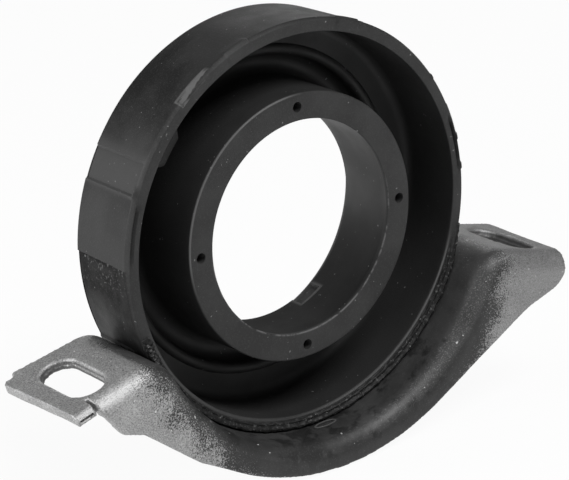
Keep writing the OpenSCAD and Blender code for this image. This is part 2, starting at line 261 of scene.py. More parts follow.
toe_l = ear_end(flare_y) - TOE_R
toe_at = [ear_root[i] + along[i] * toe_l - square_up[i] * (TOE_H - TOE_R) for i in (0, 1)]
toe_top = -math.degrees(EAR_SLOPE + math.asin((FLARE_R - TOE_H + TOE_R) / TOE_R))
toe = arc(toe_at[0], toe_at[1], TOE_R, toe_top, TOE_RISE - 90, 16)
low = arc(0, ARC_R - SKIRT_DROP, ARC_R, RISE - 90, -90, 24)
rise_dir = slope(RISE)
toe_dir = slope(TOE_RISE)
across = (-toe_dir[1], toe_dir[0])
gap = [toe[-1][i] - low[0][i] for i in (0, 1)]
rise_l = (gap[0] * across[0] + gap[1] * across[1]) / (rise_dir[0] * across[0] + rise_dir[1] * across[1])
blend_l = rise_l - BLEND_R * math.tan(math.radians(RISE - TOE_RISE) / 2)
blend_at = (low[0][0] + rise_dir[0] * blend_l + BLEND_R * rise_dir[1],
            low[0][1] + rise_dir[1] * blend_l - BLEND_R * rise_dir[0])
right_edge = toe + arc(blend_at[0], blend_at[1], BLEND_R, TOE_RISE + 90, RISE + 90, 6) + low
# On the left the toe is sheared away: a steep cut down from the ear, a short flat, a line to the low edge
STUB_L = 6.1
STUB_Y = 13.6
RELIEF_W = 1
TRIM_SLOPE = 52
TRIM_L = 10
TRIM_FLAT = 6.8
TRIM_RISE = 37.5
stub_from = ear_end(flare_y) - STUB_L
relief_l = stub_from - RELIEF_W
left_runs = [slope(angle) for angle in (TRIM_SLOPE, TOE_RISE, TRIM_RISE)]
steep, flat_run, fall = [Vector((run, 0, -rise)) for run, rise in left_runs]
trim_top = on_ear(relief_l, -SKIRT_Y, SHEET_T, -1)
knee = trim_top + steep * TRIM_L * MM
flat_end = knee + flat_run * TRIM_FLAT * MM
left_edge = []
for x, z in reversed(right_edge[:-1]):
    spot = at(-x, -SKIRT_Y, z)
    if fall.cross(spot - flat_end).y > 0 and spot.x < -0.02:
        break
    left_edge.append(spot)
run = left_edge[-1] - left_edge[-2]
meet = fall.cross(left_edge[-1] - flat_end).y / run.cross(fall).y
left_edge += [left_edge[-1] + run * meet, flat_end, knee]
trim_sides = (left_outwards, Vector((steep.z, 0, -steep.x)))
for side in trim_sides:
    pick(lambda x, y, z: x < -ear_root[0], "FACE")
    bpy.ops.mesh.bisect(plane_co=trim_top, plane_no=side)
pick(lambda x, y, z: x < -ear_root[0] and y < flare_y
     and any((at(x, y, z) - trim_top).dot(side) > 0 for side in trim_sides), "FACE")
bpy.ops.mesh.delete(type="FACE")
leave()
edge = draw("skirt_edge", [at(x, -SKIRT_Y, z) for x, z in right_edge] + left_edge)
leave()
bracket = joined(bracket, edge)
bpy.ops.object.mode_set(mode="EDIT")
lip_l = relief_l - (FLARE_R - SHEET_T) * math.tan(math.pi / 2 - math.radians(TRIM_SLOPE) - EAR_SLOPE)
flare_ends = (on_ear(ear_end(-SKIRT_Y), -SKIRT_Y, FLARE_R), on_ear(lip_l, -SKIRT_Y, FLARE_R, -1))
edge_ends = (at(toe[0][0], -SKIRT_Y, toe[0][1]), knee)
for ends in zip(flare_ends, edge_ends):
    pick(near(ends, 0.02))
    bpy.ops.mesh.edge_face_add()
pick(lambda x, y, z: abs(y + SKIRT_Y) < 0.001)
bpy.ops.mesh.edge_face_add()
bpy.ops.mesh.select_all(action="SELECT")
bpy.ops.mesh.remove_doubles(threshold=0.001 * MM)
bpy.ops.mesh.normals_make_consistent(inside=False)
pick(lambda x, y, z: x > ear_root[0] + 1 and y > flare_y - 0.1, "FACE")
shape = bmesh.from_edit_mesh(bracket.data)
if sum(face.normal.z for face in shape.faces if face.select) < 0:
    bpy.ops.mesh.select_all(action="SELECT")
    bpy.ops.mesh.flip_normals()
leave()
finish_with(bracket, "SOLIDIFY", thickness=SHEET_T * MM, offset=-1, use_even_offset=True,
            use_quality_normals=True)

# The punches of the two slots roll the upper edge in, shear part of the sheet and tear the rest narrower
SLOT_L = 21.8
SLOT_W = 10.6
SLOT_Y = 3.8
SLOT_EDGE = 0.7
SLOT_SHEAR = 1.3
SLOT_TEAR = 0.45
PUNCH_OVER = 0.5
PUNCH_L = 3
slot_l = (SLOT_X - ear_root[0]) / along[0]
punches = []
for side in (1, -1):
    bpy.ops.object.select_all(action="DESELECT")
    bpy.ops.mesh.primitive_cylinder_add(vertices=96, radius=SLOT_W / 2 * MM, depth=SLOT_SHEAR * MM)
    punch = bpy.context.object
    bpy.ops.object.mode_set(mode="EDIT")
    pick(lambda x, y, z: z < -SLOT_SHEAR / 2 + 0.01, "FACE")
    bpy.ops.mesh.inset(thickness=SLOT_TEAR * MM)
    bpy.ops.mesh.extrude_region_move(TRANSFORM_OT_translate={"value": (0, 0, -PUNCH_L * MM)})
    pick(lambda x, y, z: z > SLOT_SHEAR / 2 - 0.01, "FACE")
    rolled = SLOT_EDGE + PUNCH_OVER
    bpy.ops.mesh.extrude_region_move(TRANSFORM_OT_translate={"value": (0, 0, rolled * MM)})
    flare_out = (SLOT_W / 2 + rolled) / (SLOT_W / 2)
    bpy.ops.transform.resize(value=(flare_out, flare_out, 1), center_override=(0, 0, 0))
    for way in (1, -1):
        pick(lambda x, y, z: way * (y - SEAT_MID) > 0.01)
        bpy.ops.transform.translate(value=(0, way * (SLOT_L - SLOT_W) / 2 * MM, 0))
    leave()
    punches.append(put(punch, on_ear(slot_l, SLOT_Y, SLOT_EDGE + SLOT_SHEAR / 2, side), side * EAR_SLOPE))
for punch in punches:
    cut(bracket, punch)

# The stub that the shear left in front of the left ear, its upper edge rolled over and its front slit
STUB_LAP = 0.8
SLIT = (4.2, 2.6, 0.7)
SLIT_UP = 1.2
stub_l = STUB_L + 0.05
stub_d = STUB_Y + flare_y + STUB_LAP
stub_mid = stub_from + stub_l / 2
stub = block("stub", (stub_l, stub_d, SHEET_T))
bpy.ops.object.mode_set(mode="EDIT")
pick(lambda x, y, z: y < SEAT_MID and z > 0)
bpy.ops.mesh.bevel(offset=(SHEET_T - 0.2) * MM, segments=8)
leave()
put(stub, on_ear(stub_mid, -STUB_Y + stub_d / 2, SHEET_T / 2, -1), -EAR_SLOPE)
bracket = joined(bracket, stub)
finish_with(bracket, "REMESH", mode="VOXEL", voxel_size=0.48 * MM, use_smooth_shade=True)
finish_with(bracket, "SMOOTH", factor=0.5, iterations=4)
slit = soften(block("slit", SLIT), 0.15)
cut(bracket, put(slit, on_ear(stub_mid, -STUB_Y, SHEET_T - SLIT_UP, -1), -EAR_SLOPE))

# The sheet isn't dead flat: the press leaves long shallow waves and the blasted zinc face a fine grain
waves = bpy.data.textures.new("press_waves", "CLOUDS")
waves.noise_scale = 0.014
waves.noise_depth = 1
finish_with(bracket, "DISPLACE", texture=waves, strength=0.25 * MM, mid_level=0.8)
grain = bpy.data.textures.new("blast_grain", "CLOUDS")
grain.noise_scale = 0.0011
grain.noise_depth = 2
finish_with(bracket, "DISPLACE", texture=grain, strength=0.1 * MM, mid_level=0.85)
bpy.ops.object.shade_smooth()


def node(tree, kind, inputs, out=0, **settings):
    """Adds a shader node, sets or links its inputs, and gives back one of its outputs."""
    made = tree.nodes.new("ShaderNode" + kind)
    for name, value in settings.items():
        setattr(made, name, value)
    for name, value in inputs.items():
        if isinstance(value, bpy.types.NodeSocket):
            tree.links.new(value, made.inputs[name])
        else:
            made.inputs[name].default_value = value
    return made.outputs[out]


def sum_up(tree, kind, a, b=0.0):
    """One step of arithmetic."""
    return node(tree, "Math", {0: a, 1: b}, operation=kind)


def dot(tree, a, b):
    """The share of one direction that lies along another."""
    return node(tree, "VectorMath", {0: a, 1: b}, 1, operation="DOT_PRODUCT")


def ramp(tree, value, start, end, low=0.0, high=1.0):
    """Maps a value softly from one range to another."""
    return node(tree, "MapRange", {0: value, 1: start, 2: end, 3: low, 4: high},
                interpolation_type="SMOOTHSTEP")


def overlap(tree, *shares):
    """Multiplies masks, so that only the ground they share is left."""
    ground = shares[0]
    for share in shares[1:]:
        ground = sum_up(tree, "MULTIPLY", ground, share)
    return ground


def band(tree, value, rise, fall):
    """A mask that rises over one range of a value and falls over another."""
    return overlap(tree, ramp(tree, value, *rise), ramp(tree, value, *fall))


def blend(tree, share, a, b):
    """Mixes two colours."""
    return node(tree, "Mix", {0: share, 6: a, 7: b}, 2, data_type="RGBA")


def grey(level):
    """A neutral colour."""
    return (level, level, level, 1)


def speckle(tree, place, scale, detail=2.0):
    """Fine noise on the piece's own coordinates."""
    return node(tree, "TexNoise", {"Vector": place, "Scale": scale, "Detail": detail, "Roughness": 0.6})


def finish_in(name):
    """Starts a material and gives back its node tree, its shader and the piece's own coordinates."""
    made = bpy.data.materials.new(name)
    made.use_nodes = True
    tree = made.node_tree
    return made, tree, tree.nodes["Principled BSDF"], node(tree, "TexCoord", {}, 3)


def measured(tree, place):
    """The piece's own coordinates in millimetres of the drawing: the part across the axis, and X, Y and Z."""
    spot = node(tree, "VectorMath", {0: place, 1: (1 / MM, 1 / MM, 1 / MM), 2: (0.0, SEAT_MID, 0.0)},
                operation="MULTIPLY_ADD")
    flat = node(tree, "VectorMath", {0: spot, 1: (1.0, 0.0, 1.0)}, operation="MULTIPLY")
    return flat, *node(tree, "SeparateXYZ", {0: spot}).node.outputs


def dress(piece, material):
    """Gives a piece its one material."""
    piece.data.materials.clear()
    piece.data.materials.append(material)


zinc, tree, shader, place = finish_in("zinc_and_bond_coat")
flat, x, y, z = measured(tree, place)
# The bonding agent was sprayed round the saddle: its edges are two slanting lines, left and right
LEFT_LEAN = (0.863, 0.0, 0.596)
RIGHT_LEAN = (-0.92, 0.0, 0.39)
RIGHT_OFF = 64.4
left_of = sum_up(tree, "ADD", dot(tree, flat, LEFT_LEAN), ramp(tree, y, 4.8, 22.8, 65.6, 49.0))
right_of = sum_up(tree, "ADD", dot(tree, flat, RIGHT_LEAN), RIGHT_OFF)
drift = ramp(tree, speckle(tree, place, 90.0, 3.0), 0.25, 0.75, -3.0, 3.0)
inside = sum_up(tree, "ADD", sum_up(tree, "MINIMUM", left_of, right_of), drift)
grit = speckle(tree, place, 2700.0, 3.0)
cover = sum_up(tree, "SUBTRACT", ramp(tree, inside, -13.0, 11.0, 0.22, 0.78), grit)
# It was sprayed from above and in front, so the sheet's underside stayed bare
face = node(tree, "NewGeometry", {}, 1)
outward = node(tree, "VectorMath", {0: flat}, operation="NORMALIZE")
inward = sum_up(tree, "MULTIPLY", dot(tree, face, outward), -1.0)
to_front = dot(tree, face, (0.0, -1.0, 0.0))
sprayed = ramp(tree, sum_up(tree, "MAXIMUM", inward, to_front), 0.05, 0.35)
coat = overlap(tree, ramp(tree, cover, -0.09, 0.09), sprayed)
# Bare zinc: fine salt and pepper, slow clouds of tone, bright nicks, and painted shade that darkens it
# towards the right
cloud = speckle(tree, place, 55.0, 4.0)
fine = speckle(tree, place, 2600.0, 2.0)
bare = blend(tree, ramp(tree, cloud, 0.3, 0.7), grey(0.34), grey(0.46))
bare = blend(tree, ramp(tree, fine, 0.45, 0.72, 0.0, 0.6), bare, grey(0.75))
bare = blend(tree, ramp(tree, fine, 0.46, 0.28, 0.0, 0.75), bare, grey(0.12))
nicks = ramp(tree, speckle(tree, place, 700.0, 1.0), 0.73, 0.77)
bare = blend(tree, nicks, bare, grey(0.8))
# Painted shade: the bare zinc darkens towards the right
bare = blend(tree, ramp(tree, x, 20.0, 75.0, 0.0, 0.47), bare, grey(0.14))
# The walls of the slots are darker
ear_up = node(tree, "CombineXYZ", {0: sum_up(tree, "MULTIPLY", sum_up(tree, "SIGN", x), square_up[0]),
                                   2: square_up[1]})
off_ear = sum_up(tree, "ABSOLUTE", dot(tree, face, ear_up))
off_slot = sum_up(tree, "SUBTRACT", sum_up(tree, "ABSOLUTE", x), SLOT_X)
near_slot = ramp(tree, sum_up(tree, "ABSOLUTE", off_slot), 6.8, 6.2)
slot_wall = overlap(tree, near_slot, ramp(tree, off_ear, 0.5, 0.25),
                    ramp(tree, y, flare_y - 0.4, flare_y + 0.4), 0.75)
bare = blend(tree, slot_wall, bare, grey(0.07))
# The film of bonding agent: cloudy, with painted shade on the plate in front, smeared below, and along the
# flare a band that is darker towards the left and carries a painted highlight of pale grains and glints
film = blend(tree, ramp(tree, cloud, 0.3, 0.72), grey(0.028), grey(0.06))
# Painted shade on the plate that faces the front
film = blend(tree, ramp(tree, to_front, 0.88, 0.99, 0.0, 0.8), film, grey(0.014))
smears = overlap(tree, ramp(tree, speckle(tree, place, 150.0, 4.0), 0.5, 0.6, 0.0, 0.75),
                 ramp(tree, z, -30.0, -45.0))
film = blend(tree, smears, film, grey(0.008))
film = blend(tree, ramp(tree, fine, 0.55, 0.75, 0.0, 0.35), film, grey(0.14))
flare_band = band(tree, to_front, (0.25, 0.45), (0.97, 0.85))
film = blend(tree, overlap(tree, flare_band, ramp(tree, x, 35.0, 0.0, 0.0, 0.5)), film, grey(0.012))
# Painted highlight along the flare: pale grains and bright glints, fuller towards the right
painted_flare_highlight = overlap(tree, flare_band, ramp(tree, fine, 0.5, 0.7, 0.0, 0.55), ramp(tree, x, 0.0, 35.0, 0.2, 1.0))
film = blend(tree, painted_flare_highlight, film, grey(0.2))
painted_glints = overlap(tree, flare_band, ramp(tree, speckle(tree, place, 620.0, 1.0), 0.74, 0.77))
film = blend(tree, painted_glints, film, grey(0.6))
tree.links.new(blend(tree, coat, bare, film), shader.inputs["Base Color"])
tree.links.new(ramp(tree, coat, 0.0, 1.0, 0.8, 0.0), shader.inputs["Metallic"])
rough = sum_up(tree, "ADD", ramp(tree, fine, 0.3, 0.7, 0.46, 0.62), ramp(tree, coat, 0.0, 1.0, 0.0, -0.06))
tree.links.new(rough, shader.inputs["Roughness"])
bumps = node(tree, "Bump", {"Strength": ramp(tree, coat, 0.0, 1.0, 0.9, 0.25), "Distance": 0.12 * MM,
                            "Height": fine})
tree.links.new(bumps, shader.inputs["Normal"])
dress(bracket, zinc)
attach(bracket, "root")
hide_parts("mounting_bracket")


# Steel insert: a turned hoop that stiffens the hub. It is moulded in, and shows only at the bottom of
# the four holes that the mould's locating pins left in the hub's face.
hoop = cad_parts["insert_ring"]
hoop_steel, tree, shader, place = finish_in("hoop_steel")
turned = node(tree, "VectorMath", {0: place, 1: (1.0, 40.0, 1.0)}, operation="MULTIPLY")
marks = speckle(tree, turned, 120.0, 3.0)
tree.links.new(blend(tree, marks, grey(0.12), grey(0.3)), shader.inputs["Base Color"])
tree.links.new(ramp(tree, marks, 0.3, 0.7, 0.35, 0.55), shader.inputs["Roughness"])
shader.inputs["Metallic"].default_value = 0.9
dress(hoop, hoop_steel)


# Rubber ring: one black moulding of hub, rolled lobe, floor and outer wall, bonded into the saddle.
# It is drawn as one section and spun round the axis; pads, recesses and the lug follow on the wall.
SEAT_R = 31
LIP_R = 29.9
LIP_T = 1.6
HUB_R = 37.5
HUB_D = 20
WALL_IN = 53.5
RING_D = 24
RIM_R = 56.6
RIM_SLOPE_Y = 1.2
SEAT_EDGE = 0.35
# Valley between hub and floor, the lobe that closes it, the ridge beside it and the floor
VALLEY_R = 40.45
VALLEY_Y = 21.85
VALLEY_ROUND = 2.95
LOBE_ROUND = 6.15
LOBE_END = 46.21
RIDGE_R = 45
RIDGE_Y = 20
RIDGE_ROUND = 1.6
RIDGE_END = 46.55
FLOOR_Y = 19.6
FLOOR_ROUND = 2.5


def rounded(corner, before, after, r, steps=3):
    """Points that round a corner of the section by a radius."""
    c = Vector(corner)
    a = (Vector(before) - c).normalized()
    b = (Vector(after) - c).normalized()
    half = a.angle(b) / 2
    start = c + a * r / math.tan(half)
    end = c + b * r / math.tan(half)
    centre = c + (a + b).normalized() * r / math.sin(half)
    points = []
    for i in range(steps + 1):
        spot = start.lerp(end, i / steps) - centre
        points.append(tuple(centre + spot.normalized() * r))
    return points


def spread(a, b, steps):
    """Points between two places of the section, without the places themselves."""
    return [(a[0] + (b[0] - a[0]) * i / steps, a[1] + (b[1] - a[1]) * i / steps) for i in range(1, steps)]


def turn_round(ends, steps):
    """Closes the drawn section between its two ends and spins it once round the axis."""
    pick(ends)
    bpy.ops.mesh.edge_face_add()
    bpy.ops.mesh.select_all(action="SELECT")
    bpy.ops.mesh.spin(steps=steps, angle=math.tau, center=(0, 0, 0), axis=(0, 1, 0), use_auto_merge=True)
    bpy.ops.mesh.select_all(action="SELECT")
    bpy.ops.mesh.remove_doubles(threshold=0.0005 * MM)
    bpy.ops.mesh.normals_make_consistent(inside=False)


profile = rounded((LIP_R, 0), (LIP_R, 1), (HUB_R, 0), 0.25)
profile += spread((LIP_R, 0), (HUB_R, 0), 4)
profile += rounded((HUB_R, 0), (LIP_R, 0), (HUB_R, 9), 0.5)
profile += spread((HUB_R, 0), (HUB_R, VALLEY_Y), 5)
profile += arc(VALLEY_R, VALLEY_Y, VALLEY_ROUND, 180, 0, 14)
profile += arc(RIDGE_R, RIDGE_Y, RIDGE_ROUND, 180, 345, 12)
profile += spread((RIDGE_END, FLOOR_Y), (WALL_IN - FLOOR_ROUND, FLOOR_Y), 3)
profile += arc(WALL_IN - FLOOR_ROUND, FLOOR_Y - FLOOR_ROUND, FLOOR_ROUND, 90, 0, 6)
profile += [(WALL_IN, y) for y in (15, 12, 10.5, 9, 8, 7, 6, 5, 4, 3, 2, 1.2)]
profile += rounded((WALL_IN, 0), (WALL_IN, 3), (RIM_R, 0), 0.3)
profile += [(55.2, 0), (55.9, 0)]
profile += rounded((RIM_R, 0), (55, 0), (RING_R, RIM_SLOPE_Y), 0.3)
profile += rounded((RING_R, RIM_SLOPE_Y), (RIM_R, 0), (57.1, 8), 0.5)
wall_rows = (2, 2.6, 3.4, 5, 6.6, 7, 7.4, 10, 13, 16, 19, 21.5, 23)
wall_taper = RING_R - RIM_R
profile += [(RING_R - wall_taper * y / RING_D, y) for y in wall_rows]
profile += rounded((RIM_R, RING_D), (57, 8), (50, RING_D), 0.5)
profile += spread((RIM_R, RING_D), (LOBE_END, RING_D), 4)
profile += arc(VALLEY_R, VALLEY_Y, LOBE_ROUND, 20.5, 180, 20)
lobe_in = VALLEY_R - LOBE_ROUND
profile += rounded((lobe_in, HUB_D), (lobe_in, VALLEY_Y), (SEAT_R, HUB_D), 0.3)
profile += rounded((SEAT_R, HUB_D), (lobe_in, HUB_D), (SEAT_R, 9), SEAT_EDGE)
profile += spread((SEAT_R, HUB_D), (SEAT_R, LIP_T), 6)
profile += rounded((SEAT_R, LIP_T), (SEAT_R, 9), (LIP_R, LIP_T), 0.2, 2)
profile += rounded((LIP_R, LIP_T), (SEAT_R, LIP_T), (LIP_R, 0), 0.25, 2)
ring = draw("ring", [at(r, y, 0) for r, y in profile])
turn_round(lambda x, y, z: any(math.hypot(x - r, y - h) < 1e-4 for r, h in (profile[0], profile[-1])), 640)


def around(x, z):
    """Angle round the axis in degrees, from +X towards +Z."""
    return math.degrees(math.atan2(z, x))


def side_angle(x, z):
    """Angle above the horizontal in degrees, the same on both sides."""
    return math.degrees(math.atan2(z, abs(x)))


def outer(x, y, z):
    """Tells whether a point lies on the outside of the outer wall."""
    return math.hypot(x, z) > 56.3 and y > 0.25


def on_side(start, end, front=0, back=RING_D):
    """A test for points outside the outer wall, between two side angles and two depths."""
    return lambda x, y, z: outer(x, y, z) and start <= side_angle(x, z) <= end and front < y < back


def pull(test, radial=0.0, forward=0.0, base=RING_R):
    """Moves picked points of the ring outwards and to the front, in millimetres."""
    pick(test)
    if radial:
        grow = (base + radial) / base
        bpy.ops.transform.resize(value=(grow, 1, grow), center_override=(0, 0, 0))
    if forward:
        bpy.ops.transform.translate(value=(0, -forward * MM, 0))


# Pads, each with a flap in front of the lower recess, and the recesses above and below them
PAD_FROM = 2
PAD_TO = 22
PAD_LIP_TO = 23.5
FLAP_FROM = -4
RECESS_TO = 31
RIM_BACK = 1.9
FLAP_BACK = 6.8
PAD_UP = 0.2
RECESS_DOWN = 0.6
saddle_top = -math.degrees(saddle_angle)
pull(on_side(PAD_FROM, PAD_TO, 0, 23.6), PAD_UP)
pull(on_side(FLAP_FROM, PAD_FROM, 0, FLAP_BACK), PAD_UP)
pull(on_side(PAD_TO, PAD_LIP_TO, 0, RIM_BACK), PAD_UP)
pull(on_side(PAD_TO, RECESS_TO, RIM_BACK), -RECESS_DOWN)
pull(on_side(saddle_top + PAD_FROM, PAD_FROM, FLAP_BACK), -RECESS_DOWN)
# A groove in the rim's face beside each pad, and the full wall without its taper in the saddle
for start, end in ((2, 20.5), (3.5, 19.5), (6, 18)):
    pull(lambda x, y, z: 55.3 < math.hypot(x, z) < 56.1 and y < 0.9 and start <= side_angle(x, z) <= end,
         0, -0.3)
for y0, y1 in zip((0,) + wall_rows, wall_rows + (RING_D,)):
    mid = (y0 + y1) / 2
    pull(lambda x, y, z: outer(x, y, z) and side_angle(x, z) < saddle_top and y0 < y <= y1,
         wall_taper * mid / RING_D - 0.02)
# Tabs on the rim where the mould halves met, and the trimmed facet beside the left one
TAB_FROM = 67
TAB_TO = 75
FACET_FROM = 119
FACET_END = 131
pull(lambda x, y, z: math.hypot(x, z) > 54 and y < 2.8 and TAB_FROM <= side_angle(x, z) <= TAB_TO, 0.4, 0.45)
for start in range(FACET_FROM, FACET_END, 2):
    pull(lambda x, y, z: math.hypot(x, z) > 55.9 and y < 2.2 and start <= around(x, z) <= FACET_END,
         -0.14, -0.2)
# A knob of rubber at the top of the left pad, where the rim takes over
KNOB_TURN = 157
pull(lambda x, y, z: outer(x, y, z) and y < 2.2 and abs(around(x, z) - KNOB_TURN) < 1.3, 0.6, 0.3)
# Lug inside the wall at the upper left, with a sloping front: each row's depth and how far it stands in
LUG_FROM = 136
LUG_TO = 149
LUG_ROWS = ((1.2, 1), (2, 2), (3, 3.4), (4, 4.8), (5, 6.2), (6, 7.5), (7, 7.5), (8, 7.5))
for row, rise in LUG_ROWS:
    pull(lambda x, y, z: abs(math.hypot(x, z) - WALL_IN) < 0.05 and abs(y - row) < 0.1
         and LUG_FROM <= around(x, z) <= LUG_TO, -rise, 0, WALL_IN)
pick(lambda x, y, z: 43 < math.hypot(x, z) < 53.6 and 1 < y < 9.5
     and LUG_FROM - 4 <= around(x, z) <= LUG_TO + 4)
bpy.ops.mesh.vertices_smooth(factor=0.5, repeat=10)
# Ragged bits of flash along the right of the rim
for turn in (66, 34, 13, 4):
    pull(lambda x, y, z: math.hypot(x, z) > 56 and y < 1.5 and abs(around(x, z) - turn) < 0.8, 0.1, 0.35)
leave()

# Tools for the hub: the space round the insert, the pin holes and the notch at the back of the seat
INSERT_IN = 32.6
INSERT_OUT = 35
INSERT_FRONT = 3
INSERT_BACK = 17.4
PIN_HOLE_R = 1.2
PIN_FLARE = 1.2
NOTCH_TURN = math.radians(63.5)
NOTCH_W = 7.4
NOTCH_Y = 15.4
NOTCH_H = 2.5
NOTCH_L = 6
draw("core", [at(INSERT_IN, INSERT_FRONT, 0), at(INSERT_OUT, INSERT_FRONT, 0),
              at(INSERT_OUT, INSERT_BACK, 0), at(INSERT_IN, INSERT_BACK, 0)])
turn_round(lambda x, y, z: abs(x - INSERT_IN) < 0.01, 180)
cut(ring, leave())
pin_r = (INSERT_IN + INSERT_OUT) / 2
pins = []
for quarter in range(4):
    turn = quarter * math.pi / 2
    pin_x = pin_r * math.cos(turn)
    pin_z = pin_r * math.sin(turn)
    bpy.ops.object.select_all(action="DESELECT")
    bpy.ops.mesh.primitive_cylinder_add(vertices=32, radius=PIN_HOLE_R * MM, depth=4 * MM,
                                        rotation=(math.pi / 2, 0, 0), location=at(pin_x, 1.5, pin_z))
    settle(bpy.context.object)
    bpy.ops.object.mode_set(mode="EDIT")
    pick(lambda x, y, z: y < 0)
    bpy.ops.transform.resize(value=(PIN_FLARE, 1, PIN_FLARE), center_override=at(pin_x, 0, pin_z))
    pins.append(leave())
notch = soften(block("notch", (NOTCH_H, NOTCH_L, NOTCH_W)), 0.2)
notch_at = at(SEAT_R * math.cos(NOTCH_TURN), NOTCH_Y + NOTCH_L / 2, -SEAT_R * math.sin(NOTCH_TURN))
put(notch, notch_at, NOTCH_TURN)
cut(ring, joined(notch, *pins))
sag = bpy.data.textures.new("rubber_sag", "CLOUDS")
sag.noise_scale = 0.02
finish_with(ring, "DISPLACE", texture=sag, strength=0.12 * MM, mid_level=0.9)
only(ring)
bpy.ops.object.shade_smooth_by_angle(angle=math.radians(38))

rubber, tree, shader, place = finish_in("moulded_rubber")
flat, x, y, z = measured(tree, place)
radius = node(tree, "VectorMath", {0: flat}, 1, operation="LENGTH")
side_turn = sum_up(tree, "ARCTAN2", z, sum_up(tree, "ABSOLUTE", x))
turn = sum_up(tree, "ARCTAN2", z, x)
bloom = speckle(tree, place, 70.0, 5.0)
fine = speckle(tree, place, 2200.0, 2.0)
skin = blend(tree, ramp(tree, bloom, 0.3, 0.72), grey(0.017), grey(0.04))
# On the outer wall the crown is darkened as painted shade, the recess and the pad below it are paler, and the
# foot is stained
behind_face = ramp(tree, y, 0.4, 1.4)
on_wall = overlap(tree, ramp(tree, radius, 55.2, 55.8), behind_face)
crown = overlap(tree, on_wall, ramp(tree, side_turn, 0.53, 0.75))
foot = overlap(tree, on_wall, ramp(tree, side_turn, 0.0393, 0.034))
stains = blend(tree, ramp(tree, speckle(tree, place, 260.0, 6.0), 0.4, 0.62), grey(0.003), grey(0.015))
# Painted shade: the crown is darkened
skin = blend(tree, crown, skin, blend(tree, ramp(tree, bloom, 0.3, 0.7), grey(0.005), grey(0.018)))
skin = blend(tree, overlap(tree, foot, 0.85), skin, stains)
# Painted shadow sits under the pad's lower edge, with torn chips below it
painted_shadow_under_pad = overlap(tree, foot, ramp(tree, side_turn, -0.01, 0.026),
               ramp(tree, y, FLAP_BACK - 0.6, FLAP_BACK + 0.4))
skin = blend(tree, painted_shadow_under_pad, skin, grey(0.002))
chips = overlap(tree, foot, ramp(tree, speckle(tree, place, 1100.0, 2.0), 0.54, 0.64),
                ramp(tree, speckle(tree, place, 330.0, 2.0), 0.46, 0.6),
                ramp(tree, side_turn, -0.2, -0.02, 0.0, 0.9))
skin = blend(tree, chips, skin, grey(0.1))
recess = overlap(tree, on_wall, band(tree, side_turn, (0.36, 0.385), (0.62, 0.53)))
skin = blend(tree, recess, skin, grey(0.049))
skin = blend(tree, ramp(tree, fine, 0.5, 0.75, 0.0, 0.3), skin, grey(0.07))
# The trough kept the mould's clean black skin; the faces that were handled have a grey bloom
in_trough = overlap(tree, band(tree, radius, (HUB_R - 0.5, HUB_R - 0.1), (WALL_IN + 0.6, WALL_IN + 0.1)),
                    ramp(tree, y, 0.1, 0.7))
skin = blend(tree, in_trough, skin, grey(0.026))
# Painted light and shade: the seat is paler at its top and darker at its bottom
in_seat = overlap(tree, ramp(tree, radius, SEAT_R + 1.4, SEAT_R + 0.3), behind_face)
skin = blend(tree, in_seat, skin, blend(tree, ramp(tree, z, -24.0, 2.0), grey(0.013), grey(0.06)))
# A thin pale line of flash runs along the hub's lip, and a painted highlight along the trough's rim edge at
# the bottom
ragged = ramp(tree, speckle(tree, place, 330.0, 4.0), 0.44, 0.56)
hub_line = overlap(tree, ramp(tree, radius, LIP_R + 0.6, LIP_R + 0.2), ragged, ramp(tree, z, 12.0, -8.0))
painted_rim_highlight = overlap(tree, band(tree, radius, (WALL_IN + 0.1, WALL_IN + 0.4), (WALL_IN + 1, WALL_IN + 0.7)),
                   ramp(tree, z, -12.0, -24.0), ramp(tree, x, -10.0, 15.0, 0.3, 1.0))
flash_and_rim_highlight = overlap(tree, sum_up(tree, "MAXIMUM", hub_line, painted_rim_highlight), ramp(tree, y, 0.5, 0.1))
skin = blend(tree, flash_and_rim_highlight, skin, grey(0.13))
# Painted highlight along the outer edge of the hub's face, at its upper left
painted_hub_edge_highlight = overlap(tree, band(tree, radius, (HUB_R - 0.6, HUB_R - 0.3), (HUB_R + 0.4, HUB_R + 0.1)),
                   ramp(tree, y, 0.7, 0.2), ramp(tree, x, 4.0, -8.0), ramp(tree, z, -14.0, 0.0))
skin = blend(tree, painted_hub_edge_highlight, skin, grey(0.12))
# The trimmed facet at the upper left of the rim is paler, partly as cut rubber and partly as painted light;
# the edge of the seat's notch is paler cut rubber
facet_from = math.radians(FACET_FROM - 1)
facet_full = math.radians(FACET_FROM + 1)
facet_end = math.radians(FACET_END)
facet_gone = math.radians(FACET_END + 0.6)
facet_in = ramp(tree, turn, facet_from, facet_end, 57.0, 55.6)
facet = overlap(tree, band(tree, turn, (facet_from, facet_full), (facet_gone, facet_end)),
                ramp(tree, sum_up(tree, "SUBTRACT", radius, facet_in), 0.0, 0.2), ramp(tree, y, 3.0, 2.4))
# Partly painted light: the trimmed facet is made paler
skin = blend(tree, facet, skin, grey(0.1))
notch_edge = overlap(tree, band(tree, turn, (-NOTCH_TURN - 0.16, -NOTCH_TURN - 0.12),
                                (-NOTCH_TURN + 0.16, -NOTCH_TURN + 0.12)),
                     ramp(tree, y, NOTCH_Y - 0.6, NOTCH_Y - 0.3),
                     ramp(tree, radius, SEAT_R + 1.2, SEAT_R + 0.8))
skin = blend(tree, notch_edge, skin, grey(0.075))
# The squeezed-out bead is dark and gritty, with a painted highlight where it stands out most
on_bead = overlap(tree, ramp(tree, y, -0.1, -0.4), ramp(tree, side_turn, 0.0, -0.1))
gritty = ramp(tree, speckle(tree, place, 1500.0, 2.0), 0.56, 0.7)
skin = blend(tree, on_bead, skin, blend(tree, gritty, grey(0.009), grey(0.09)))
